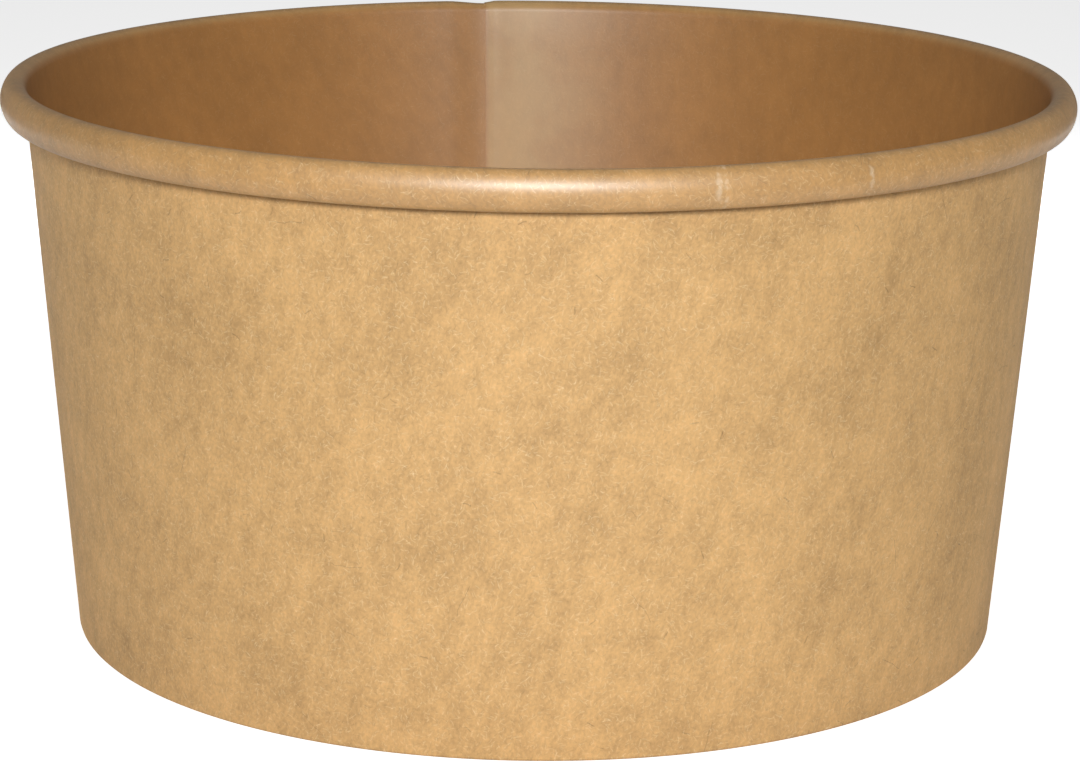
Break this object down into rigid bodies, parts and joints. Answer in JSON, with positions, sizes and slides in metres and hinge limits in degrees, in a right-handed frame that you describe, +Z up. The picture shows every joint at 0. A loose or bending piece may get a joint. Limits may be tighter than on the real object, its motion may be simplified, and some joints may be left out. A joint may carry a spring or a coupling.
{
  "type": "paper ice cream tub",
  "caption": "Wide, low round tub of kraft board with a rolled rim, a lapped side seam and a recessed base.",
  "frame": {"origin": "centre of the ring that the tub stands on, at the table", "axes": "+Z up along the tub's axis, -Y towards the front, with the side seam at the back near +Y"},
  "size_m": [0.15, 0.15, 0.0782],
  "materials": {
    "kraft_board": "brown kraft board, bare and matte outside, with a thin clear coating of soft gloss inside and on the rim"
  },
  "bodies": {
    "root": {"side_wall": "kraft_board", "base_disc": "kraft_board"}
  },
  "joints": []
}
